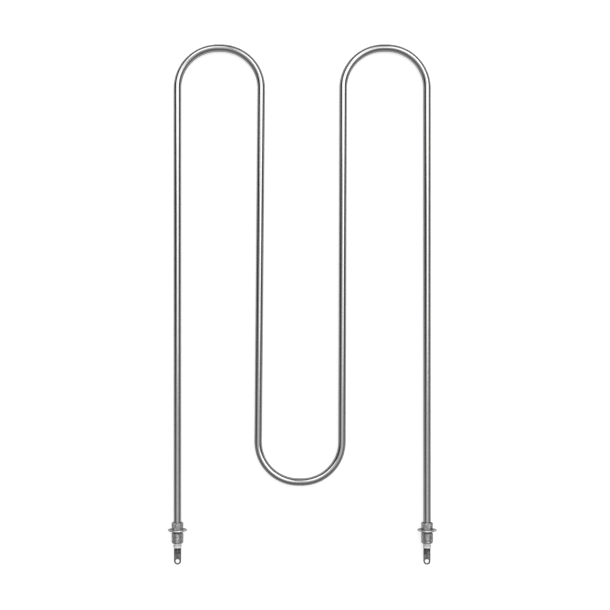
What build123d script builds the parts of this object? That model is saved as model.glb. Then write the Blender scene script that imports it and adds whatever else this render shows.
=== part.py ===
from build123d import *
from math import acos, atan2, cos, degrees, hypot, pi, radians, sin
import os

# Tubular heating element: a metal-sheathed heater bent into an M, with a threaded bushing at each end.
#
# Frame, in millimetres: the M lies flat in XY. +Y points from the bushings to the two far bends, and +Z
# is up, away from the surface that the element lies on. The origin is midway between the bushings, at
# the height of the tube's axis, on the plane where both flanges seat against a wall.

# ---- driving dimensions ----

# Sheath tube and its run
SHEATH_DIA = 8.5
SHEATH_WALL = 0.7
BUSHING_SPACING = 287.0      # between the axes of the two outer legs
LOOP_WIDTH = 96.4            # between the two legs of each loop, axis to axis
CROWN_LENGTH = 4.0           # short straight at the top of a loop, between its two quarter bends
OUTER_LEG_LENGTH = 508.9     # from the seating plane to the start of the far loops
NEAR_LOOP_DISTANCE = 102.4   # from the seating plane to the start of the middle loop
NEAR_LOOP_SHIFT = -2.5       # the middle loop has sprung this far off the centre line

# Heater wire and pins inside the tube
PIN_DIA = 2.5
COIL_WIRE_DIA = 0.6
COLD_LENGTH = 75.0           # unheated length of tube behind each seating plane
PIN_IN_COIL = 12.0           # length of pin that the coil's end turns are wound on
SEAL_LENGTH = 5.0

# Threaded bushing
THREAD_DIA = 14.0            # M14 x 1.5
THREAD_LENGTH = 14.0
THREAD_END_CHAMFER = 1.2
UNDERCUT_DIA = 12.2
UNDERCUT_WIDTH = 2.1
FLANGE_DIA = 22.0
FLANGE_THICKNESS = 1.8
FLANGE_EDGE_CHAMFER = 0.3
COLLAR_DIA = 13.6
COLLAR_HEIGHT = 8.0
COLLAR_TOP_CHAMFER = 0.9
CRIMP_FLATS = 6
CRIMP_TOP_WIDTH = 12.3       # across the crimped flats where the jaws start
CRIMP_FOOT_WIDTH = 11.0      # across the flats at the flange, where the jaws bite deepest

# Ceramic insulator
CERAMIC_NECK_DIA = 8.8
CERAMIC_NECK_LENGTH = 2.5
CERAMIC_RIM_DIA = 9.4
CERAMIC_RIM_LENGTH = 3.1
CERAMIC_EDGE = 0.35
CERAMIC_GROOVE_DEPTH = 0.25
CERAMIC_GROOVE_WIDTH = 0.5
SPIGOT_LENGTH = 3.0
CERAMIC_CLEARANCE = 0.1      # round the spigot and round the pin, on the radius

# Terminal lug
LUG_WIDTH = 8.0
LUG_THICKNESS = 1.0
LUG_LENGTH = 19.1
LUG_HOLE_DIA = 4.5           # clears an M4 screw
LUG_GAP = 0.35               # between the ceramic and the lug
LUG_CORNER_RADIUS = 0.8
PIN_ON_LUG = 7.4             # length of pin that lies on the lug
PIN_COIN_DEPTH = 0.45        # pressed off the pin's back where it is welded to the lug
PIN_POINT_LENGTH = 2.6       # the tip is pressed down to a slope of this length
PIN_TIP_THICKNESS = 0.35

# ---- sizes that follow ----

SHEATH_BORE = SHEATH_DIA - 2 * SHEATH_WALL
COIL_DIA = PIN_DIA + 2 * COIL_WIRE_DIA
LEG_X = BUSHING_SPACING / 2
BEND_RADIUS = (LOOP_WIDTH - CROWN_LENGTH) / 2

# Stations along the outer legs
SHEATH_END_Y = -THREAD_LENGTH
CERAMIC_END_Y = SHEATH_END_Y - CERAMIC_NECK_LENGTH - CERAMIC_RIM_LENGTH
SPIGOT_END_Y = SHEATH_END_Y + SPIGOT_LENGTH
FILL_END_Y = SPIGOT_END_Y + SEAL_LENGTH
COIL_END_Y = COLD_LENGTH
PIN_INNER_Y = COIL_END_Y + PIN_IN_COIL
LUG_TOP_Y = CERAMIC_END_Y - LUG_GAP
PIN_TIP_Y = LUG_TOP_Y - PIN_ON_LUG
LUG_END_Y = LUG_TOP_Y - LUG_LENGTH
LUG_HOLE_Y = LUG_END_Y + LUG_WIDTH / 2
LUG_FACE_Z = PIN_COIN_DEPTH - PIN_DIA / 2


# ---- the bent run ----

def polar(centre, radius, angle):
    """Point at an angle in degrees round a centre in the XY plane."""
    return Vector(centre.X + radius * cos(radians(angle)), centre.Y + radius * sin(radians(angle)))


def bend_centres():
    """Centres of the six quarter bends, in the order in which the tube passes them."""
    far_x = LEG_X - BEND_RADIUS
    near_x = CROWN_LENGTH / 2
    return (
        Vector(-far_x, OUTER_LEG_LENGTH),
        Vector(-far_x + CROWN_LENGTH, OUTER_LEG_LENGTH),
        Vector(NEAR_LOOP_SHIFT - near_x, NEAR_LOOP_DISTANCE),
        Vector(NEAR_LOOP_SHIFT + near_x, NEAR_LOOP_DISTANCE),
        Vector(far_x - CROWN_LENGTH, OUTER_LEG_LENGTH),
        Vector(far_x, OUTER_LEG_LENGTH),
    )


def lean(centre_a, centre_b, side):
    """Angle of the radius at which an inner leg leaves bend a, for the tangent that crosses to bend b."""
    across = centre_b - centre_a
    swing = degrees(acos(2 * BEND_RADIUS / hypot(across.X, across.Y)))
    return degrees(atan2(across.Y, across.X)) + side * swing


def ring(plane, outer, inner):
    """Tube section on a plane; a rod where the inner diameter is 0."""
    section = Circle(outer / 2)
    if inner > 0:
        section -= Circle(inner / 2)
    return plane * section


def straight(start, end, outer, inner):
    """Straight tube between two points."""
    return extrude(ring(Plane(origin=start, z_dir=end - start), outer, inner), (end - start).length)


def bend(centre, start_angle, turn, outer, inner):
    """Tube bent round a centre. A positive turn is anticlockwise, seen from above."""
    sense = 1 if turn > 0 else -1
    heading = polar(Vector(0, 0), sense, start_angle + 90)
    section = ring(Plane(origin=polar(centre, BEND_RADIUS, start_angle), z_dir=heading), outer, inner)
    return revolve(section, Axis(centre, (0, 0, sense)), abs(turn))


def quarter_bends():
    """Each bend's centre, the angle at which the tube enters it, and its turn: below 0 is clockwise."""
    centres = bend_centres()
    down = lean(centres[1], centres[2], 1)
    up = lean(centres[3], centres[4], -1)
    return (
        (centres[0], 180, -90),
        (centres[1], 90, down - 90),
        (centres[2], 180 + down, 90 - down),
        (centres[3], 270, 90 + up),
        (centres[4], 180 + up, -90 - up),
        (centres[5], 90, -90),
    )


def run(outer, inner, end_y):
    """The whole M as a tube or rod, with both outer legs ending at end_y."""
    pieces = []
    here = Vector(-LEG_X, end_y)
    for centre, start_angle, turn in quarter_bends():
        pieces.append(straight(here, polar(centre, BEND_RADIUS, start_angle), outer, inner))
        pieces.append(bend(centre, start_angle, turn, outer, inner))
        here = polar(centre, BEND_RADIUS, start_angle + turn)
    pieces.append(straight(here, Vector(LEG_X, end_y), outer, inner))
    return Part() + pieces


def developed_length(end_y):
    """Length of the tube before it is bent."""
    length = 0
    here = Vector(-LEG_X, end_y)
    for centre, start_angle, turn in quarter_bends():
        length += (polar(centre, BEND_RADIUS, start_angle) - here).length
        length += BEND_RADIUS * radians(abs(turn))
        here = polar(centre, BEND_RADIUS, start_angle + turn)
    return length + (Vector(LEG_X, end_y) - here).length


def make_sheath():
    """One tube, open at both mouths, flush with the bushings' outer ends."""
    return run(SHEATH_DIA, SHEATH_BORE, SHEATH_END_Y)


def make_coil():
    """The wound wire as one sleeve: outer and inner diameter of its close turns."""
    return run(COIL_DIA, PIN_DIA, COIL_END_Y)


def make_fill():
    """Compacted powder: a core inside the coil, and the rest between the wire or pins and the sheath."""
    pieces = [run(SHEATH_BORE, COIL_DIA, COIL_END_Y), run(PIN_DIA, 0, PIN_INNER_Y)]
    for x in (-LEG_X, LEG_X):
        pieces.append(straight(Vector(x, FILL_END_Y), Vector(x, COIL_END_Y), SHEATH_BORE, PIN_DIA))
    return Part() + pieces


# ---- the end fittings, drawn on the Y axis and set on each outer leg ----

def turned(*profile):
    """Solid turned round the Y axis from (radius, y) points."""
    return revolve(make_face(Polyline(*profile, close=True)), Axis.Y)


def hexagon(y, across_flats):
    """Crimping jaws' outline at a station, with one flat facing up."""
    plane = Plane(origin=(0, y, 0), x_dir=(1, 0, 0), z_dir=(0, 1, 0))
    return plane * RegularPolygon(across_flats / 2, CRIMP_FLATS, major_radius=False, rotation=180 / CRIMP_FLATS)


def make_bushing():
    """Turned in one piece: thread blank, undercut, flange, and a collar crimped onto the tube."""
    bore = SHEATH_DIA / 2
    thread = THREAD_DIA / 2
    undercut = UNDERCUT_DIA / 2
    flange = FLANGE_DIA / 2
    collar = COLLAR_DIA / 2
    edge = FLANGE_EDGE_CHAMFER
    collar_top = FLANGE_THICKNESS + COLLAR_HEIGHT
    body = turned(
        (bore, -THREAD_LENGTH),
        (thread - THREAD_END_CHAMFER, -THREAD_LENGTH),
        (thread, -THREAD_LENGTH + THREAD_END_CHAMFER),
        (thread, -UNDERCUT_WIDTH - (thread - undercut)),
        (undercut, -UNDERCUT_WIDTH),
        (undercut, 0),
        (flange - edge, 0),
        (flange, edge),
        (flange, FLANGE_THICKNESS - edge),
        (flange - edge, FLANGE_THICKNESS),
        (bore, FLANGE_THICKNESS),
    )
    blank = turned(
        (bore, FLANGE_THICKNESS),
        (collar, FLANGE_THICKNESS),
        (collar, collar_top - COLLAR_TOP_CHAMFER),
        (collar - COLLAR_TOP_CHAMFER, collar_top),
        (bore, collar_top),
    )
    jaws = loft([hexagon(FLANGE_THICKNESS, CRIMP_FOOT_WIDTH), hexagon(collar_top, CRIMP_TOP_WIDTH)])
    return body + (blank & jaws)


def make_ceramic():
    """Stepped bead: a rim, a groove and a neck outside the tube, and a spigot in its mouth."""
    hole = PIN_DIA / 2 + CERAMIC_CLEARANCE
    spigot = SHEATH_BORE / 2 - CERAMIC_CLEARANCE
    neck = CERAMIC_NECK_DIA / 2
    rim = CERAMIC_RIM_DIA / 2
    groove = neck - CERAMIC_GROOVE_DEPTH
    step_y = CERAMIC_END_Y + CERAMIC_RIM_LENGTH
    return turned(
        (hole, CERAMIC_END_Y),
        (rim - CERAMIC_EDGE, CERAMIC_END_Y),
        (rim, CERAMIC_END_Y + CERAMIC_EDGE),
        (rim, step_y - CERAMIC_EDGE),
        (rim - CERAMIC_EDGE, step_y),
        (groove, step_y),
        (groove, step_y + CERAMIC_GROOVE_WIDTH),
        (neck, step_y + CERAMIC_GROOVE_WIDTH),
        (neck, SHEATH_END_Y),
        (spigot, SHEATH_END_Y),
        (spigot, SPIGOT_END_Y),
        (hole, SPIGOT_END_Y),
    )


def make_seal():
    """Resin plug between the ceramic spigot and the powder."""
    return turned(
        (PIN_DIA / 2, SPIGOT_END_Y),
        (SHEATH_BORE / 2, SPIGOT_END_Y),
        (SHEATH_BORE / 2, FILL_END_Y),
        (PIN_DIA / 2, FILL_END_Y),
    )


def make_pin():
    """Terminal pin, with its outer end pressed flat behind and sloped in front, to weld to the lug."""
    reach = PIN_DIA
    rod = turned((0, PIN_TIP_Y), (PIN_DIA / 2, PIN_TIP_Y), (PIN_DIA / 2, PIN_INNER_Y), (0, PIN_INNER_Y))
    behind = Pos(0, (PIN_TIP_Y - reach + LUG_TOP_Y) / 2, LUG_FACE_Z - reach / 2)
    rod -= behind * Box(2 * reach, LUG_TOP_Y - PIN_TIP_Y + reach, reach)
    slope = make_face(
        Plane.YZ
        * Polyline(
            (PIN_TIP_Y + PIN_POINT_LENGTH, PIN_DIA / 2),
            (PIN_TIP_Y, LUG_FACE_Z + PIN_TIP_THICKNESS),
            (PIN_TIP_Y - reach, LUG_FACE_Z + PIN_TIP_THICKNESS),
            (PIN_TIP_Y - reach, reach),
            (PIN_TIP_Y + PIN_POINT_LENGTH, reach),
            close=True,
        )
    )
    return rod - extrude(slope, reach, both=True)


def make_lug():
    """Flat lug: square end at the ceramic, round end with a screw hole."""
    centre_y = (LUG_TOP_Y + LUG_HOLE_Y) / 2
    outline = Pos(0, centre_y) * Rectangle(LUG_WIDTH, LUG_TOP_Y - LUG_HOLE_Y)
    outline = fillet(outline.vertices().group_by(Axis.Y)[-1], LUG_CORNER_RADIUS)
    outline += Pos(0, LUG_HOLE_Y) * Circle(LUG_WIDTH / 2)
    outline -= Pos(0, LUG_HOLE_Y) * Circle(LUG_HOLE_DIA / 2)
    return Pos(0, 0, LUG_FACE_Z) * extrude(outline, -LUG_THICKNESS)


# ---- one STEP for each piece ----

def export(name, shape, color):
    """Write one named node."""
    shape.label = name
    shape.color = Color(*color)
    export_step(shape, f"parts/{name}.step")


STEEL = (0.62, 0.63, 0.64)
DARK_STEEL = (0.45, 0.46, 0.47)
CERAMIC = (0.93, 0.92, 0.89)
POWDER = (0.85, 0.84, 0.80)
RESIN = (0.62, 0.24, 0.18)

os.makedirs("parts", exist_ok=True)
export("sheath_tube", make_sheath(), STEEL)
export("magnesia_fill", make_fill(), POWDER)
export("resistance_coil", make_coil(), DARK_STEEL)

fittings = (
    ("threaded_bushing", make_bushing(), STEEL),
    ("ceramic_insulator", make_ceramic(), CERAMIC),
    ("end_seal", make_seal(), RESIN),
    ("cold_pin", make_pin(), DARK_STEEL),
    ("terminal_lug", make_lug(), STEEL),
)
for side, x in (("left", -LEG_X), ("right", LEG_X)):
    for name, shape, color in fittings:
        export(f"{side}_{name}", Pos(x, 0, 0) * shape, color)

length = developed_length(SHEATH_END_Y)
section_area = pi * (SHEATH_DIA**2 - SHEATH_BORE**2) / 4
print(f"developed length {length:.1f} mm, sheath volume by length {length * section_area:.0f} mm3")
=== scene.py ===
"""Tubular heating element: a bent metal-sheathed heater with a threaded bushing, bead and lug at each end.

Sizes are in millimetres and are turned into metres where the pieces are made. X runs across the two bushings,
Y along the legs to the far loops, and Z up from the surface that the heater lies on.
"""
from math import acos, atan2, ceil, cos, degrees, hypot, inf, pi, radians, sin, tan

import bmesh
import bpy
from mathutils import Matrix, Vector


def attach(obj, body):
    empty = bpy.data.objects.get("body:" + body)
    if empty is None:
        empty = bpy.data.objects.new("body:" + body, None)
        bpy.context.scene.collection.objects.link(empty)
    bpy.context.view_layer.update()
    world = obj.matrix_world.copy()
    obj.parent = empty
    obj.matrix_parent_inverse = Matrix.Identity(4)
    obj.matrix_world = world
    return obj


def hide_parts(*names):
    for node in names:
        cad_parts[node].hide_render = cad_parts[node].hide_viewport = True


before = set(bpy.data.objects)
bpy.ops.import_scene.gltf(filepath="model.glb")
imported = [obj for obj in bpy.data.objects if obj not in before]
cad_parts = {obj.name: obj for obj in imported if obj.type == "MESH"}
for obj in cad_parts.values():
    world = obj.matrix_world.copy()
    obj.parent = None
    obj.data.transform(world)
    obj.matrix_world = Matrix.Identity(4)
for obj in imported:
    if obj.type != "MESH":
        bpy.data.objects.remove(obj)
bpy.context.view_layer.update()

MM = 0.001

# ---- sizes, as in the part's source ----

SHEATH_DIA = 8.5
SHEATH_WALL = 0.7
BUSHING_SPACING = 287.0         # between the axes of the two outer legs
LOOP_WIDTH = 96.4               # between the two legs of each loop, axis to axis
CROWN_LENGTH = 4.0              # short straight at the top of a loop, between its two quarter bends
OUTER_LEG_LENGTH = 508.9        # from the seating plane to the start of the far loops
NEAR_LOOP_DISTANCE = 102.4      # from the seating plane to the start of the middle loop
NEAR_LOOP_SHIFT = -2.5          # the middle loop has sprung this far off the centre line

PIN_DIA = 2.5
COLD_LENGTH = 75.0              # unheated length of tube behind each seating plane
PIN_IN_COIL = 12.0              # length of pin inside the coil

THREAD_DIA = 14.0
THREAD_LENGTH = 14.0
THREAD_END_CHAMFER = 1.2
UNDERCUT_DIA = 12.2
UNDERCUT_WIDTH = 2.1
FLANGE_DIA = 22.0
FLANGE_THICKNESS = 1.8
FLANGE_EDGE_CHAMFER = 0.3
COLLAR_DIA = 13.6
COLLAR_HEIGHT = 8.0
COLLAR_TOP_CHAMFER = 0.9
CRIMP_FLATS = 6
CRIMP_TOP_WIDTH = 12.3          # across the crimped flats where the jaws start
CRIMP_FOOT_WIDTH = 11.0         # across the flats at the flange, where the jaws bite deepest

CERAMIC_NECK_DIA = 8.8
CERAMIC_NECK_LENGTH = 2.5
CERAMIC_RIM_DIA = 9.4
CERAMIC_RIM_LENGTH = 3.1
CERAMIC_EDGE = 0.35
CERAMIC_GROOVE_DEPTH = 0.25
CERAMIC_GROOVE_WIDTH = 0.5
CERAMIC_CLEARANCE = 0.1         # round the spigot and round the pin, on the radius
SPIGOT_LENGTH = 3.0

LUG_WIDTH = 8.0
LUG_THICKNESS = 1.0
LUG_LENGTH = 19.1
LUG_HOLE_DIA = 4.5
LUG_GAP = 0.35                  # between the ceramic and the lug
LUG_CORNER_RADIUS = 0.8
PIN_ON_LUG = 7.4                # length of pin that lies on the lug
PIN_COIN_DEPTH = 0.45           # pressed off the pin's back where it is welded to the lug
PIN_POINT_LENGTH = 2.6          # the tip is pressed down to a slope of this length
PIN_TIP_THICKNESS = 0.35

LEG_X = BUSHING_SPACING / 2
BEND_RADIUS = (LOOP_WIDTH - CROWN_LENGTH) / 2
SHEATH_END_Y = -THREAD_LENGTH   # the tube is cut off flush with its bushings
PIN_INNER_Y = COLD_LENGTH + PIN_IN_COIL
CERAMIC_HOLE_DIA = PIN_DIA + 2 * CERAMIC_CLEARANCE
SPIGOT_DIA = SHEATH_DIA - 2 * SHEATH_WALL - 2 * CERAMIC_CLEARANCE
CERAMIC_RIM_Y = SHEATH_END_Y - CERAMIC_NECK_LENGTH
CERAMIC_END_Y = CERAMIC_RIM_Y - CERAMIC_RIM_LENGTH
LUG_TOP_Y = CERAMIC_END_Y - LUG_GAP
LUG_END_Y = LUG_TOP_Y - LUG_LENGTH
LUG_HOLE_Y = LUG_END_Y + LUG_WIDTH / 2
LUG_FACE_Z = PIN_COIN_DEPTH - PIN_DIA / 2
PIN_TIP_Y = LUG_TOP_Y - PIN_ON_LUG

# ---- finer sizes, of what only these pieces have ----

BORE_CLEARANCE = 0.02           # between the bushing and the tube, on the radius
THREAD_ROOT_DIA = 12.16
THREAD_PITCH = 1.5
ROOT_FLAT = 1 / 4               # of the pitch
CREST_FLAT = 1 / 8              # of the pitch
THREAD_RUN_OUT = 1.0            # length of the slope from the crest into the undercut
ELECTRODE_DIA = 2.0             # the round-nosed electrodes that spot-weld the pin to the lug
WELD_MARK_DEPTH = 0.28
WELD_MARKS_DOWN_LUG = (2.05, 4.25)  # how far each weld mark lies from the lug's square end
WELD_HEAT_DOWN_LUG = 3.25       # how far the middle of the weld's heat lies from it

BUSHING_BORE = SHEATH_DIA + 2 * BORE_CLEARANCE
WELD_HEAT_Y = LUG_TOP_Y - WELD_HEAT_DOWN_LUG

# ---- fineness of the meshes, and tolerances ----

SHEATH_SIDES = 48
BEND_STEPS = 32                 # in each quarter bend
PULL_LENGTH = 24                # of one step along a straight
FITTING_SIDES = 96
THREAD_STEPS = 72               # in one turn
PIN_SIDES = 64
LUG_HOLE_SIDES = 72
ELECTRODE_SIDES = 32
MERGE_DISTANCE = 0.001          # points nearer to each other than this become one point
CUT_TOLERANCE = 0.0001
TOOL_REACH = 3                  # a cutting tool goes on this far past what it cuts


# ---- ways of working ----

def nothing_selected():
    """Back to object mode with no object selected."""
    if bpy.context.object and bpy.context.object.mode != "OBJECT":
        bpy.ops.object.mode_set(mode="OBJECT")
    bpy.ops.object.select_all(action="DESELECT")


def take(piece):
    """Only this piece is selected and active."""
    nothing_selected()
    piece.select_set(True)
    bpy.context.view_layer.objects.active = piece


def edit_all(piece):
    """Edit mode with the whole piece selected."""
    take(piece)
    bpy.ops.object.mode_set(mode="EDIT")
    bpy.ops.mesh.select_all(action="SELECT")


def select_vertices(piece, wanted):
    """Only the vertices whose place is wanted are selected, in edit mode."""
    mesh = bmesh.from_edit_mesh(piece.data)
    for vertex in mesh.verts:
        vertex.select = wanted(vertex.co)
    mesh.select_flush(True)
    bmesh.update_edit_mesh(piece.data)


def settle(piece, name):
    """The piece's place goes into its mesh, and it gets its name."""
    take(piece)
    bpy.ops.object.transform_apply(location=True, rotation=True, scale=True)
    piece.name = name
    piece.data.name = name
    return piece


def apply_modifiers(piece):
    """Every modifier is made part of the mesh."""
    take(piece)
    for modifier in list(piece.modifiers):
        bpy.ops.object.modifier_apply(modifier=modifier.name)


def face_outwards(piece):
    """Doubles are merged and the faces turned outwards."""
    edit_all(piece)
    bpy.ops.mesh.remove_doubles(threshold=MERGE_DISTANCE * MM)
    bpy.ops.mesh.normals_make_consistent(inside=False)
    bpy.ops.object.mode_set(mode="OBJECT")


def smooth(piece, angle):
    """Smooth shading up to an edge angle in degrees."""
    take(piece)
    bpy.ops.object.shade_smooth_by_angle(angle=radians(angle))


def soften(piece, width, segments, angle):
    """A small rounding along the edges that are sharper than an angle in degrees."""
    bevel = piece.modifiers.new("soft edges", "BEVEL")
    bevel.width = width * MM
    bevel.segments = segments
    bevel.limit_method = "ANGLE"
    bevel.angle_limit = radians(angle)
    bevel.harden_normals = False
    apply_modifiers(piece)


def copy_of(piece, name, x):
    """A copy with its own mesh, moved along X."""
    take(piece)
    bpy.ops.object.duplicate()
    copy = bpy.context.object
    edit_all(copy)
    bpy.ops.transform.translate(value=(x * MM, 0, 0))
    bpy.ops.object.mode_set(mode="OBJECT")
    copy.name = name
    copy.data.name = name
    return copy


def boolean(piece, tool, operation):
    """The piece cut by a tool or kept inside it. The tool is then gone."""
    cut = piece.modifiers.new("cut", "BOOLEAN")
    cut.operation = operation
    cut.object = tool
    cut.solver = "EXACT"
    apply_modifiers(piece)
    bpy.data.objects.remove(tool, do_unlink=True)


def slice_off(place, facing):
    """In edit mode, all that lies past a plane is cut off and the cut is closed."""
    bpy.ops.mesh.select_all(action="SELECT")
    bpy.ops.mesh.bisect(
        plane_co=place, plane_no=facing, use_fill=True, clear_outer=True, threshold=CUT_TOLERANCE * MM)


def block(lowest, highest):
    """A square cutting tool between two corners in millimetres."""
    nothing_selected()
    middle = [(a + b) / 2 * MM for a, b in zip(lowest, highest)]
    bpy.ops.mesh.primitive_cube_add(size=1, location=middle)
    cutter = bpy.context.object
    cutter.scale = [(b - a) * MM for a, b in zip(lowest, highest)]
    return settle(cutter, "cutter")


def turn(profile):
    """A ring-shaped solid turned round the Y axis from (radius, y) points, each drawn out of the last."""
    nothing_selected()
    first_radius, first_y = profile[0]
    bpy.ops.mesh.primitive_circle_add(
        vertices=FITTING_SIDES, radius=first_radius * MM, fill_type="NOTHING",
        location=(0, first_y * MM, 0), rotation=(pi / 2, 0, 0))
    piece = settle(bpy.context.object, "turned")
    edit_all(piece)
    radius, y = first_radius, first_y
    for next_radius, next_y in profile[1:] + [profile[0]]:
        bpy.ops.mesh.extrude_region_move(TRANSFORM_OT_translate={"value": (0, (next_y - y) * MM, 0)})
        if next_radius != radius:
            scale = next_radius / radius
            bpy.ops.transform.resize(value=(scale, 1, scale), center_override=(0, next_y * MM, 0))
        radius, y = next_radius, next_y
    bpy.ops.object.mode_set(mode="OBJECT")
    face_outwards(piece)
    return piece


# ---- the bent run of the tube ----

def polar(centre, radius, angle):
    """The point at an angle in degrees on a circle."""
    return Vector((centre[0] + radius * cos(radians(angle)), centre[1] + radius * sin(radians(angle))))


def lean(centre_a, centre_b, side):
    """The angle round the first of two opposite bends at which the straight between them leaves it."""
    across = (centre_b[0] - centre_a[0], centre_b[1] - centre_a[1])
    swing = degrees(acos(2 * BEND_RADIUS / hypot(*across)))
    return degrees(atan2(across[1], across[0])) + side * swing


def quarter_bends():
    """Each bend's centre, the angle at which the tube enters it, and its turn: below 0 is clockwise."""
    far_x = LEG_X - BEND_RADIUS
    near_x = CROWN_LENGTH / 2
    centres = (
        (-far_x, OUTER_LEG_LENGTH),
        (-far_x + CROWN_LENGTH, OUTER_LEG_LENGTH),
        (NEAR_LOOP_SHIFT - near_x, NEAR_LOOP_DISTANCE),
        (NEAR_LOOP_SHIFT + near_x, NEAR_LOOP_DISTANCE),
        (far_x - CROWN_LENGTH, OUTER_LEG_LENGTH),
        (far_x, OUTER_LEG_LENGTH),
    )
    down = lean(centres[1], centres[2], 1)
    up = lean(centres[3], centres[4], -1)
    return (
        (centres[0], 180, -90),
        (centres[1], 90, down - 90),
        (centres[2], 180 + down, 90 - down),
        (centres[3], 270, 90 + up),
        (centres[4], 180 + up, -90 - up),
        (centres[5], 90, -90),
    )


def place_on_tube(x, y):
    """Where a point lies on the unbent tube: how far left of its middle, and how far from its first end."""
    slack = 0.01                # a point this far past a straight's end still belongs to it
    length = 0
    nearest = (inf, 0)
    here = Vector((-LEG_X, SHEATH_END_Y))
    for centre, start_angle, turn_angle in quarter_bends() + ((None, 0, 0),):
        if centre is None:
            bend_start = Vector((LEG_X, SHEATH_END_Y))
        else:
            bend_start = polar(centre, BEND_RADIUS, start_angle)
        along = (bend_start - here).normalized()
        pull = (bend_start - here).length
        reach = Vector((x, y)) - here
        travel = reach.dot(along)
        offset = along.x * reach.y - along.y * reach.x
        if -slack <= travel <= pull + slack and abs(offset) < abs(nearest[0]):
            nearest = (offset, length + travel)
        length += pull
        if centre is None:
            break
        angle = degrees(atan2(y - centre[1], x - centre[0]))
        swept = (angle - start_angle) * (1 if turn_angle > 0 else -1) % 360
        if swept <= abs(turn_angle):
            outwards = hypot(x - centre[0], y - centre[1]) - BEND_RADIUS
            offset = -outwards if turn_angle > 0 else outwards
            if abs(offset) < abs(nearest[0]):
                nearest = (offset, length + BEND_RADIUS * radians(swept))
        length += BEND_RADIUS * radians(abs(turn_angle))
        here = polar(centre, BEND_RADIUS, start_angle + turn_angle)
    return nearest


def unroll(sheath):
    """An attribute keeps each point's place on the unbent tube, so that drawing lines follow the bends."""
    drawn = sheath.data.attributes.new("drawn_along", "FLOAT_VECTOR", "POINT")
    for index, vertex in enumerate(sheath.data.vertices):
        offset, length = place_on_tube(vertex.co.x / MM, vertex.co.y / MM)
        drawn.data[index].vector = (offset * MM, vertex.co.z, length * MM)


def draw_out(start, end):
    """The open end of the tube is pulled straight on in even steps."""
    step_count = max(1, round((end - start).length / PULL_LENGTH))
    step = (end - start) / step_count * MM
    for _ in range(step_count):
        bpy.ops.mesh.extrude_region_move(TRANSFORM_OT_translate={"value": (step[0], step[1], 0)})


def make_sheath():
    """The tube is drawn along its whole run: straight pulls for the legs, spins for the bends."""
    nothing_selected()
    bpy.ops.mesh.primitive_circle_add(
        vertices=SHEATH_SIDES, radius=SHEATH_DIA / 2 * MM, fill_type="NOTHING",
        location=(-LEG_X * MM, SHEATH_END_Y * MM, 0), rotation=(pi / 2, 0, 0))
    sheath = settle(bpy.context.object, "bent_sheath")
    edit_all(sheath)
    here = Vector((-LEG_X, SHEATH_END_Y))
    for centre, start_angle, turn_angle in quarter_bends():
        bend_start = polar(centre, BEND_RADIUS, start_angle)
        draw_out(here, bend_start)
        bpy.ops.mesh.spin(
            steps=BEND_STEPS, dupli=False, angle=radians(-turn_angle),
            center=(centre[0] * MM, centre[1] * MM, 0), axis=(0, 0, 1))
        here = polar(centre, BEND_RADIUS, start_angle + turn_angle)
    draw_out(here, Vector((LEG_X, SHEATH_END_Y)))
    bpy.ops.object.mode_set(mode="OBJECT")
    face_outwards(sheath)
    wall = sheath.modifiers.new("wall", "SOLIDIFY")
    wall.thickness = SHEATH_WALL * MM
    wall.offset = -1
    wall.use_even_offset = True
    apply_modifiers(sheath)
    unroll(sheath)
    smooth(sheath, 40)
    return sheath


# ---- end fittings, modelled on the Y axis and copied to each outer leg ----

def make_thread():
    """One pitch of the thread's outline is wound into a screw, cut off square, and kept inside a blank."""
    root = THREAD_ROOT_DIA / 2
    crest = THREAD_DIA / 2
    flank = (1 - ROOT_FLAT - CREST_FLAT) / 2
    one_pitch = ((root, 0), (root, ROOT_FLAT), (crest, ROOT_FLAT + flank), (crest, 1 - flank), (root, 1))
    outline = [(radius, share * THREAD_PITCH) for radius, share in one_pitch]
    start_y = SHEATH_END_Y - THREAD_PITCH
    cut_low = SHEATH_END_Y - 0.4        # just below the blank
    cut_high = -UNDERCUT_WIDTH + 0.9    # just above the blank
    margin = 0.1                        # the blank stands this far clear of the crest
    nothing_selected()
    bpy.ops.mesh.primitive_plane_add(size=0.2 * MM, location=(root * MM, start_y * MM, 0))
    thread = settle(bpy.context.object, "thread")
    edit_all(thread)
    bpy.ops.mesh.merge(type="CENTER")
    for (from_radius, from_y), (to_radius, to_y) in zip(outline, outline[1:]):
        step = ((to_radius - from_radius) * MM, (to_y - from_y) * MM, 0)
        bpy.ops.mesh.extrude_region_move(TRANSFORM_OT_translate={"value": step})
    bpy.ops.object.mode_set(mode="OBJECT")
    wind = thread.modifiers.new("wind", "SCREW")
    wind.axis = "Y"
    wind.screw_offset = THREAD_PITCH * MM
    wind.iterations = ceil((cut_high - start_y) / THREAD_PITCH) + 1     # one turn to spare
    wind.steps = THREAD_STEPS
    wind.render_steps = THREAD_STEPS
    wind.use_merge_vertices = True
    wind.merge_threshold = MERGE_DISTANCE * MM
    apply_modifiers(thread)
    face_outwards(thread)
    edit_all(thread)
    slice_off((0, cut_low * MM, 0), (0, -1, 0))
    slice_off((0, cut_high * MM, 0), (0, 1, 0))
    bpy.ops.object.mode_set(mode="OBJECT")
    face_outwards(thread)
    blank = turn([
        (BUSHING_BORE / 2, SHEATH_END_Y),
        (crest - THREAD_END_CHAMFER, SHEATH_END_Y),
        (crest + margin, SHEATH_END_Y + THREAD_END_CHAMFER + margin),
        (crest + margin, -UNDERCUT_WIDTH - THREAD_RUN_OUT),
        (UNDERCUT_DIA / 2, -UNDERCUT_WIDTH),
        (BUSHING_BORE / 2, -UNDERCUT_WIDTH),
    ])
    boolean(thread, blank, "INTERSECT")
    smooth(thread, 25)
    return thread


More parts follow.
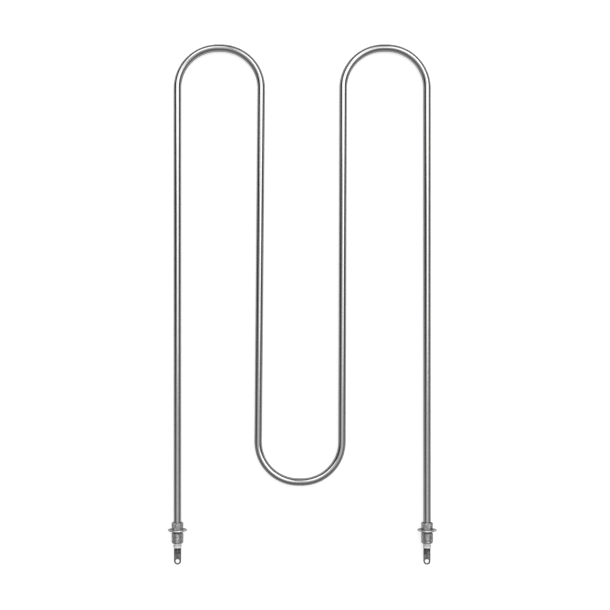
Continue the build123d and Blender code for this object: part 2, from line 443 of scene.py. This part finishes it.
def make_collar():
    """A turned collar pressed onto the tube by six jaws, each leaving one sloping flat."""
    foot = FLANGE_THICKNESS
    top = foot + COLLAR_HEIGHT
    outer = COLLAR_DIA / 2
    collar = turn([
        (BUSHING_BORE / 2, foot),
        (outer, foot),
        (outer, top - COLLAR_TOP_CHAMFER),
        (outer - COLLAR_TOP_CHAMFER, top),
        (BUSHING_BORE / 2, top),
    ])
    slope = atan2((CRIMP_TOP_WIDTH - CRIMP_FOOT_WIDTH) / 2, COLLAR_HEIGHT)
    reach = CRIMP_FOOT_WIDTH / 2
    edit_all(collar)
    for jaw in range(CRIMP_FLATS):
        around = radians(90 + 360 / CRIMP_FLATS * jaw)
        on_flat = (reach * cos(around) * MM, foot * MM, reach * sin(around) * MM)
        slice_off(on_flat, (cos(slope) * cos(around), -sin(slope), cos(slope) * sin(around)))
    bpy.ops.object.mode_set(mode="OBJECT")
    face_outwards(collar)
    soften(collar, width=0.3, segments=3, angle=20)
    smooth(collar, 30)
    return collar


def make_bushing():
    """Thread, undercut, flange and crimped collar in one piece of turned steel."""
    undercut = UNDERCUT_DIA / 2
    flange = FLANGE_DIA / 2
    body = turn([
        (BUSHING_BORE / 2, -UNDERCUT_WIDTH),
        (undercut, -UNDERCUT_WIDTH),
        (undercut, 0),
        (flange - FLANGE_EDGE_CHAMFER, 0),
        (flange, FLANGE_EDGE_CHAMFER),
        (flange, FLANGE_THICKNESS - FLANGE_EDGE_CHAMFER),
        (flange - FLANGE_EDGE_CHAMFER, FLANGE_THICKNESS),
        (BUSHING_BORE / 2, FLANGE_THICKNESS),
    ])
    soften(body, width=0.1, segments=2, angle=30)
    smooth(body, 30)
    thread = make_thread()
    collar = make_collar()
    take(body)
    thread.select_set(True)
    collar.select_set(True)
    bpy.ops.object.join()
    return body


def make_ceramic():
    """A fired bead: rim, groove and neck outside the tube, and a spigot in its mouth."""
    neck = CERAMIC_NECK_DIA / 2
    rim = CERAMIC_RIM_DIA / 2
    hole = CERAMIC_HOLE_DIA / 2
    spigot = SPIGOT_DIA / 2
    groove = neck - CERAMIC_GROOVE_DEPTH
    groove_top = CERAMIC_RIM_Y + CERAMIC_GROOVE_WIDTH
    bead = turn([
        (hole, CERAMIC_END_Y),
        (rim - CERAMIC_EDGE, CERAMIC_END_Y),
        (rim, CERAMIC_END_Y + CERAMIC_EDGE),
        (rim, CERAMIC_RIM_Y - CERAMIC_EDGE),
        (rim - CERAMIC_EDGE, CERAMIC_RIM_Y),
        (groove, CERAMIC_RIM_Y),
        (groove, groove_top),
        (neck, groove_top),
        (neck, SHEATH_END_Y),
        (spigot, SHEATH_END_Y),
        (spigot, SHEATH_END_Y + SPIGOT_LENGTH),
        (hole, SHEATH_END_Y + SPIGOT_LENGTH),
    ])
    soften(bead, width=0.12, segments=3, angle=25)
    smooth(bead, 40)
    return bead


def make_lug():
    """A stamped lug: a disc whose upper half is pulled out to a square end, with a punched screw hole."""
    nothing_selected()
    bpy.ops.mesh.primitive_cylinder_add(
        vertices=FITTING_SIDES, radius=LUG_WIDTH / 2 * MM, depth=LUG_THICKNESS * MM,
        location=(0, LUG_HOLE_Y * MM, (LUG_FACE_Z - LUG_THICKNESS / 2) * MM))
    lug = settle(bpy.context.object, "lug")
    slack = 0.03                # the disc's widest points, and the square end's corners, lie within this
    edit_all(lug)
    select_vertices(lug, lambda place: place.y > (LUG_HOLE_Y + slack) * MM)
    bpy.ops.transform.resize(value=(1, 0, 1), center_override=(0, LUG_TOP_Y * MM, 0))
    corner_x = (LUG_WIDTH / 2 - slack) * MM
    corner_y = (LUG_TOP_Y - slack) * MM
    mesh = bmesh.from_edit_mesh(lug.data)
    for edge in mesh.edges:
        ends = [vertex.co for vertex in edge.verts]
        upright = abs(ends[0].z - ends[1].z) > LUG_THICKNESS / 2 * MM
        edge.select = upright and all(place.y > corner_y and abs(place.x) > corner_x for place in ends)
    bmesh.update_edit_mesh(lug.data)
    bpy.ops.mesh.bevel(offset=LUG_CORNER_RADIUS * MM, segments=5)
    nothing_selected()
    bpy.ops.mesh.primitive_cylinder_add(
        vertices=LUG_HOLE_SIDES, radius=LUG_HOLE_DIA / 2 * MM, depth=4 * LUG_THICKNESS * MM,
        location=(0, LUG_HOLE_Y * MM, LUG_FACE_Z * MM))
    boolean(lug, settle(bpy.context.object, "punch"), "DIFFERENCE")
    face_outwards(lug)
    soften(lug, width=0.12, segments=3, angle=35)
    smooth(lug, 30)
    return lug


def make_pin():
    """The terminal pin, pressed flat behind and sloped in front where it is welded to the lug."""
    nothing_selected()
    bpy.ops.mesh.primitive_cylinder_add(
        vertices=PIN_SIDES, radius=PIN_DIA / 2 * MM, depth=(PIN_INNER_Y - PIN_TIP_Y) * MM,
        location=(0, (PIN_INNER_Y + PIN_TIP_Y) / 2 * MM, 0), rotation=(pi / 2, 0, 0))
    pin = settle(bpy.context.object, "pin")
    reach = TOOL_REACH
    press = block((-reach, PIN_TIP_Y - reach, -reach), (reach, LUG_TOP_Y, LUG_FACE_Z))
    boolean(pin, press, "DIFFERENCE")
    tip_top = LUG_FACE_Z + PIN_TIP_THICKNESS
    wedge = block((-reach, PIN_TIP_Y - reach, tip_top), (reach, PIN_TIP_Y + PIN_POINT_LENGTH, reach))
    rise = PIN_DIA / 2 - tip_top
    edit_all(wedge)
    select_vertices(wedge, lambda place: place.y > PIN_TIP_Y * MM and place.z < 0)
    bpy.ops.transform.translate(value=(0, 0, rise * MM))
    select_vertices(wedge, lambda place: place.y < PIN_TIP_Y * MM and place.z < 0)
    bpy.ops.transform.translate(value=(0, 0, -rise * reach / PIN_POINT_LENGTH * MM))
    boolean(pin, wedge, "DIFFERENCE")
    electrode_z = PIN_DIA / 2 + ELECTRODE_DIA / 2 - WELD_MARK_DEPTH
    for down_lug in WELD_MARKS_DOWN_LUG:
        nothing_selected()
        bpy.ops.mesh.primitive_uv_sphere_add(
            segments=ELECTRODE_SIDES, ring_count=ELECTRODE_SIDES // 2, radius=ELECTRODE_DIA / 2 * MM,
            location=(0, (LUG_TOP_Y - down_lug) * MM, electrode_z * MM))
        boolean(pin, settle(bpy.context.object, "electrode"), "DIFFERENCE")
    face_outwards(pin)
    soften(pin, width=0.06, segments=2, angle=35)
    smooth(pin, 30)
    return pin


# ---- finishes: tools ----

MOST_NOISE = (0.3, 0.7)         # nearly all of a noise's values lie between these


def mm(*lengths):
    """Lengths in millimetres, turned into metres."""
    return [length * MM for length in lengths]


def finish(name):
    """A new material with its nodes and its shader."""
    material = bpy.data.materials.new(name)
    material.use_nodes = True
    return material, material.node_tree, material.node_tree.nodes["Principled BSDF"]


def node(tree, kind, **inputs):
    """A node with its inputs set by name."""
    made = tree.nodes.new(kind)
    for key, value in inputs.items():
        made.inputs[key.replace("_", " ")].default_value = value
    return made


def spread(tree, value, between, to=(0.0, 1.0)):
    """A value stretched from one range to another, and held inside it."""
    ranged = node(
        tree, "ShaderNodeMapRange", From_Min=between[0], From_Max=between[1], To_Min=to[0], To_Max=to[1])
    tree.links.new(value, ranged.inputs["Value"])
    return ranged.outputs["Result"]


def noise(tree, vector, scale, detail, roughness=0.5):
    """Noise at a place, its scale in spots per unit of length."""
    made = node(tree, "ShaderNodeTexNoise", Scale=scale, Detail=detail, Roughness=roughness)
    tree.links.new(vector, made.inputs["Vector"])
    return made.outputs["Fac"]


def stretched(tree, vector, scale):
    """A place scaled differently along each axis."""
    made = node(tree, "ShaderNodeMapping", Scale=scale)
    tree.links.new(vector, made.inputs["Vector"])
    return made.outputs["Vector"]


def combine(tree, operation, first, second=None):
    """One step of arithmetic on two values, each a number or a socket, or on one."""
    made = tree.nodes.new("ShaderNodeMath")
    made.operation = operation
    for socket, value in zip(made.inputs, (first, second)):
        if isinstance(value, (int, float)):
            socket.default_value = value
        elif value is not None:
            tree.links.new(value, socket)
    return made.outputs["Value"]


def blend(tree, first, first_share, second):
    """Two noises added by their shares."""
    first_part = combine(tree, "MULTIPLY", first, first_share)
    second_part = combine(tree, "MULTIPLY", second, 1 - first_share)
    return combine(tree, "ADD", first_part, second_part)


def without(tree, tone, *marks):
    """A tone with each of the marks taken off it."""
    for mark in marks:
        tone = combine(tree, "SUBTRACT", tone, mark)
    return tone


def distance(tree, across, along):
    """How far away a place is that lies so far across and so far along."""
    across_squared = combine(tree, "MULTIPLY", across, across)
    along_squared = combine(tree, "MULTIPLY", along, along)
    return combine(tree, "SQRT", combine(tree, "ADD", across_squared, along_squared))


def gap(tree, value, mark):
    """How far a value is from a mark, to either side."""
    return combine(tree, "ABSOLUTE", combine(tree, "SUBTRACT", value, mark))


def shade(tree, amount, dark, light):
    """A colour between two, by amount."""
    made = tree.nodes.new("ShaderNodeMix")
    made.data_type = "RGBA"
    made.inputs["A"].default_value = (*dark, 1)
    made.inputs["B"].default_value = (*light, 1)
    tree.links.new(amount, made.inputs["Factor"])
    return made.outputs["Result"]


def bump(tree, shader, height, strength, depth):
    """Relief on the shader, its full depth in millimetres."""
    made = node(tree, "ShaderNodeBump", Strength=strength, Distance=depth * MM)
    tree.links.new(height, made.inputs["Height"])
    tree.links.new(made.outputs["Normal"], shader.inputs["Normal"])


def colour(tree, shader, amount, dark, light):
    """The shader's colour, between two by amount."""
    tree.links.new(shade(tree, amount, dark, light), shader.inputs["Base Color"])


def gloss(tree, shader, amount, between, to):
    """The shader's roughness, spread from an amount."""
    tree.links.new(spread(tree, amount, between, to), shader.inputs["Roughness"])


def object_place(tree):
    """The place on the object."""
    return tree.nodes.new("ShaderNodeTexCoord").outputs["Object"]


def axes_of(tree, vector):
    """A place's three coordinates."""
    split = tree.nodes.new("ShaderNodeSeparateXYZ")
    tree.links.new(vector, split.inputs["Vector"])
    return split.outputs["X"], split.outputs["Y"], split.outputs["Z"]


def from_leg(tree, x):
    """How far sideways a point is from the middle of its own outer leg."""
    return combine(tree, "SUBTRACT", combine(tree, "ABSOLUTE", x), LEG_X * MM)


def make_steel(shader, edge_tint):
    """Bare metal, whose grazing reflections are held down to a tint."""
    shader.inputs["Metallic"].default_value = 1.0
    shader.inputs["Specular Tint"].default_value = (edge_tint, edge_tint, edge_tint, 1)


# ---- finishes ----

def sheath_finish():
    """Bright drawn steel: fine lines along the tube, faint cloudiness, and a few dark specks."""
    material, tree, shader = finish("drawn_sheath_steel")
    drawn = tree.nodes.new("ShaderNodeAttribute")
    drawn.attribute_name = "drawn_along"
    place = drawn.outputs["Vector"]
    lines = noise(tree, stretched(tree, place, (2600, 2600, 30)), scale=1.0, detail=3.0)
    clouds = noise(tree, place, scale=90.0, detail=4.0)
    specks = spread(tree, noise(tree, place, scale=1500.0, detail=1.0), (0.70, 0.78))
    tone = without(tree, blend(tree, lines, 0.45, clouds), combine(tree, "MULTIPLY", specks, 0.35))
    colour(tree, shader, spread(tree, tone, MOST_NOISE), (0.287, 0.287, 0.287), (0.313, 0.313, 0.31))
    gloss(tree, shader, tone, MOST_NOISE, (0.12, 0.11))
    make_steel(shader, edge_tint=0.08)
    bump(tree, shader, lines, strength=0.006, depth=0.02)
    return material


def turned_finish():
    """Turned steel: tool rings round the axis, a bright flange, a duller collar, painted shade in the thread
    roots and the undercut, and a darker free end of the thread.
    """
    material, tree, shader = finish("turned_bushing_steel")
    x, y, z = axes_of(tree, object_place(tree))
    radius = distance(tree, from_leg(tree, x), z)
    rings = tree.nodes.new("ShaderNodeCombineXYZ")
    tree.links.new(radius, rings.inputs["X"])
    tree.links.new(y, rings.inputs["Y"])
    cuts = noise(tree, rings.outputs["Vector"], scale=5200.0, detail=3.0)
    clouds = noise(tree, object_place(tree), scale=520.0, detail=4.0, roughness=0.6)
    bare = spread(tree, blend(tree, cuts, 0.4, clouds), (0.34, 0.66), (0.18, 1.18))

    # the collar, above the flange, is made darker than the flange
    collar_darkening = spread(tree, y, mm(FLANGE_THICKNESS - 0.1, FLANGE_THICKNESS + 0.4), (0.0, 0.38))
    below_flange = spread(tree, y, mm(-0.1, 0.0), (1.0, 0.0))
    dulled = combine(tree, "MULTIPLY", below_flange, 0.08)
    # painted shade: the thread's roots are darkened a little, and the undercut under the flange fully, where
    # the flange shades them
    low_in_thread = spread(tree, radius, mm(THREAD_ROOT_DIA / 2, THREAD_DIA / 2 - 0.15), (1.0, 0.0))
    low_below_flange = combine(tree, "MULTIPLY", low_in_thread, below_flange)
    held = spread(tree, y, mm(-UNDERCUT_WIDTH - 0.4, -UNDERCUT_WIDTH + 0.2), (0.12, 1.0))
    recess_painted_shade = combine(tree, "MULTIPLY", low_below_flange, held)
    # the last millimetre of the thread, at its free end, is made darker
    darker_thread_end = spread(tree, y, mm(SHEATH_END_Y, SHEATH_END_Y + 1.0), (0.7, 0.0))

    tone = without(tree, bare, collar_darkening, dulled, recess_painted_shade, darker_thread_end)
    colour(tree, shader, tone, (0.09, 0.09, 0.09), (0.85, 0.85, 0.845))
    gloss(tree, shader, tone, (0.0, 1.0), (0.55, 0.34))
    make_steel(shader, edge_tint=0.15)
    bump(tree, shader, cuts, strength=0.18, depth=0.02)
    return material


def ceramic_finish():
    """Unglazed fired white ceramic with a faint speckle, and painted shade along the groove."""
    material, tree, shader = finish("fired_white_ceramic")
    grain = noise(tree, object_place(tree), scale=2600.0, detail=5.0, roughness=0.65)
    clouds = noise(tree, object_place(tree), scale=260.0, detail=3.0)
    clean = spread(tree, blend(tree, grain, 0.4, clouds), MOST_NOISE, (0.15, 1.15))
    y = axes_of(tree, object_place(tree))[1]
    # painted shade: a dark band at the groove by the rim's step
    groove_painted_shade = spread(tree, gap(tree, y, CERAMIC_RIM_Y * MM), mm(0.3, 0.7), (0.9, 0.0))
    colour(tree, shader, without(tree, clean, groove_painted_shade), (0.40, 0.399, 0.395), (0.64, 0.638, 0.632))
    gloss(tree, shader, grain, MOST_NOISE, (0.62, 0.42))
    bump(tree, shader, grain, strength=0.25, depth=0.03)
    return material


def welded_finish(name, dark, light):
    """Plated steel with handling marks, darkened by the weld's heat, with painted shadow under the ceramic
    and painted dark shade along the edges.
    """
    material, tree, shader = finish(name)
    place = object_place(tree)
    scuffs = noise(tree, stretched(tree, place, (1.0, 0.35, 1.0)), scale=1400.0, detail=4.0, roughness=0.6)
    clouds = noise(tree, place, scale=330.0, detail=4.0, roughness=0.6)
    clean = spread(tree, blend(tree, scuffs, 0.5, clouds), MOST_NOISE)

    x, y, _ = axes_of(tree, place)
    heat = spread(tree, gap(tree, y, WELD_HEAT_Y * MM), mm(1.0, 6.0), (0.35, 0.0))
    # painted shadow: darkest at the lug's top under the ceramic, fading down towards the weld
    ceramic_painted_shadow = spread(tree, y, mm(WELD_HEAT_Y, LUG_TOP_Y - 0.75), (0.0, 0.9))
    # painted shade: the lug's sides and round end are darkened towards the rim
    past_hole = combine(tree, "MINIMUM", combine(tree, "SUBTRACT", y, LUG_HOLE_Y * MM), 0.0)
    from_middle = distance(tree, from_leg(tree, x), past_hole)
    painted_edge_shade = spread(tree, from_middle, mm(LUG_WIDTH / 2 - 1.3, LUG_WIDTH / 2), (0.0, 0.95))

    tone = without(tree, clean, heat, ceramic_painted_shadow, painted_edge_shade)
    colour(tree, shader, tone, dark, light)
    gloss(tree, shader, tone, (0.0, 1.0), (0.5, 0.26))
    make_steel(shader, edge_tint=0.15)
    bump(tree, shader, scuffs, strength=0.2, depth=0.03)
    return material


def plain_grain_finish(name, dark, light, scale, roughness, metallic=0.0):
    """An inner piece's finish: fine grain between two tones."""
    material, tree, shader = finish(name)
    grain = noise(tree, object_place(tree), scale=scale, detail=5.0, roughness=0.6)
    colour(tree, shader, spread(tree, grain, MOST_NOISE), dark, light)
    gloss(tree, shader, grain, MOST_NOISE, (roughness + 0.08, roughness - 0.08))
    shader.inputs["Metallic"].default_value = metallic
    bump(tree, shader, grain, strength=0.2, depth=0.04)
    return material


def dress(piece, material):
    """One finish all over a piece."""
    piece.data.materials.clear()
    piece.data.materials.append(material)


# ---- the pieces, each in the place of its solid ----

sheath = make_sheath()
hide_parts("sheath_tube")
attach(sheath, "root")
dress(sheath, sheath_finish())

fittings = (
    ("threaded_bushing", make_bushing(), "bushing_steel", turned_finish()),
    ("ceramic_insulator", make_ceramic(), "white_ceramic", ceramic_finish()),
    ("cold_pin", make_pin(), "pin_steel",
     welded_finish("plated_pin_steel", dark=(0.10, 0.10, 0.10), light=(0.55, 0.55, 0.54))),
    ("terminal_lug", make_lug(), "lug_steel",
     welded_finish("plated_lug_steel", dark=(0.03, 0.03, 0.03), light=(0.28, 0.28, 0.277))),
)
for part_name, piece, slot_name, material in fittings:
    dress(piece, material)
    for side, x in (("left", -LEG_X), ("right", LEG_X)):
        placed = copy_of(piece, f"{side}_{part_name}_finished", x)
        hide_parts(f"{side}_{part_name}")
        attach(placed, "root")
    bpy.data.objects.remove(piece, do_unlink=True)

powder = plain_grain_finish(
    "pressed_magnesia", dark=(0.60, 0.58, 0.53), light=(0.82, 0.80, 0.74), scale=1800.0, roughness=0.85)
wire = plain_grain_finish(
    "oxidised_resistance_wire", dark=(0.10, 0.095, 0.09), light=(0.30, 0.29, 0.27), scale=2600.0,
    roughness=0.5, metallic=1.0)
resin = plain_grain_finish(
    "cast_sealing_resin", dark=(0.30, 0.08, 0.05), light=(0.46, 0.15, 0.10), scale=900.0, roughness=0.35)
inner_finishes = (
    ("magnesia_fill", powder),
    ("resistance_coil", wire),
    ("left_end_seal", resin),
    ("right_end_seal", resin),
)
for cad_name, material in inner_finishes:
    dress(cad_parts[cad_name], material)

# ---- floor, light and camera ----

FLOOR_SIZE = 60                 # in metres
FLOOR_TONE = 0.42
FLOOR_LIFT = 0.68               # a glow that only the camera, metal and glass see, so the floor looks white

# each lamp's lean from overhead towards +X and towards +Y, its width, all in degrees, and its strength
SOFT_LAMPS = (
    ("left_softbox", -20, 24, 34, 0.72),
    ("left_softbox_top", -15, 42, 28, 0.36),
    ("right_softbox", 19, 16, 38, 1.06),
    ("right_softbox_top", 22, 42, 28, 0.36),
    ("right_softbox_side", 40, 30, 36, 0.32),
    ("overhead_diffuser", 5, 18, 78, 0.46),
    ("front_diffuser_left", -16, 0, 36, 0.15),
    ("front_diffuser_middle", 6, -4, 30, 0.08),
    ("front_diffuser_right", 30, -4, 44, 0.26),
)

CAMERA_PLACE = (0.0032, 0.2597, 1.450)     # in metres, looking straight down
SENSOR_WIDTH = 36
FOCAL_LENGTH = 74.41


def floor_finish():
    """A matt pale table top that shows white and keeps the object's shadow."""
    material = bpy.data.materials.new("pale_table_top")
    material.use_nodes = True
    tree = material.node_tree
    tree.nodes.clear()
    matte = node(tree, "ShaderNodeBsdfDiffuse", Color=(FLOOR_TONE, FLOOR_TONE, FLOOR_TONE, 1))
    glow = node(tree, "ShaderNodeEmission", Color=(1, 1, 1, 1), Strength=FLOOR_LIFT)
    lifted = tree.nodes.new("ShaderNodeAddShader")
    tree.links.new(matte.outputs[0], lifted.inputs[0])
    tree.links.new(glow.outputs[0], lifted.inputs[1])
    rays = tree.nodes.new("ShaderNodeLightPath").outputs
    looked_at = combine(
        tree, "MAXIMUM", combine(tree, "MAXIMUM", rays["Is Camera Ray"], rays["Is Glossy Ray"]),
        rays["Is Transmission Ray"])
    chosen = tree.nodes.new("ShaderNodeMixShader")
    tree.links.new(looked_at, chosen.inputs[0])
    tree.links.new(matte.outputs[0], chosen.inputs[1])
    tree.links.new(lifted.outputs[0], chosen.inputs[2])
    output = tree.nodes.new("ShaderNodeOutputMaterial")
    tree.links.new(chosen.outputs[0], output.inputs["Surface"])
    return material


def make_floor():
    """A large pale table that meets the flanges and the far loops, so it leans by less than a degree."""
    flange_low = Vector((0, FLANGE_THICKNESS / 2, -FLANGE_DIA / 2))
    loop_low = Vector((0, OUTER_LEG_LENGTH + BEND_RADIUS, -SHEATH_DIA / 2))
    tilt = atan2(loop_low.z - flange_low.z, loop_low.y - flange_low.y)
    nothing_selected()
    bpy.ops.mesh.primitive_plane_add(size=FLOOR_SIZE, location=flange_low * MM, rotation=(tilt, 0, 0))
    floor = settle(bpy.context.object, "pale_table")
    dress(floor, floor_finish())


def make_world():
    """A dim studio round the lamps: darkest beyond the far loops, a little lighter behind the bushings."""
    world = bpy.data.worlds.new("studio")
    bpy.context.scene.world = world
    world.use_nodes = True
    tree = world.node_tree
    y = axes_of(tree, tree.nodes.new("ShaderNodeTexCoord").outputs["Generated"])[1]
    behind = spread(tree, y, (0.02, -0.2))
    tree.links.new(
        shade(tree, behind, (0.09, 0.09, 0.09), (0.36, 0.36, 0.36)), tree.nodes["Background"].inputs["Color"])


def soft_lamp(name, lean_x, lean_y, width, strength):
    """A distant round softbox; its leans and its width are in degrees."""
    lamp = bpy.data.lights.new(name, "SUN")
    lamp.energy = strength
    lamp.angle = radians(width)
    holder = bpy.data.objects.new(name, lamp)
    towards = Vector((tan(radians(lean_x)), tan(radians(lean_y)), 1)).normalized()
    holder.rotation_euler = towards.to_track_quat("Z", "Y").to_euler()
    bpy.context.scene.collection.objects.link(holder)


make_floor()
make_world()
for lamp_name, lean_x, lean_y, width, strength in SOFT_LAMPS:
    soft_lamp(lamp_name, lean_x, lean_y, width, strength)

scene = bpy.context.scene
scene.view_settings.view_transform = "Standard"
camera_data = bpy.data.cameras.new("camera")
camera_data.sensor_width = SENSOR_WIDTH
camera_data.lens = FOCAL_LENGTH
camera_data.clip_start = 0.05
camera_data.clip_end = 100
camera = bpy.data.objects.new("camera", camera_data)
camera.location = CAMERA_PLACE
scene.collection.objects.link(camera)
scene.camera = camera
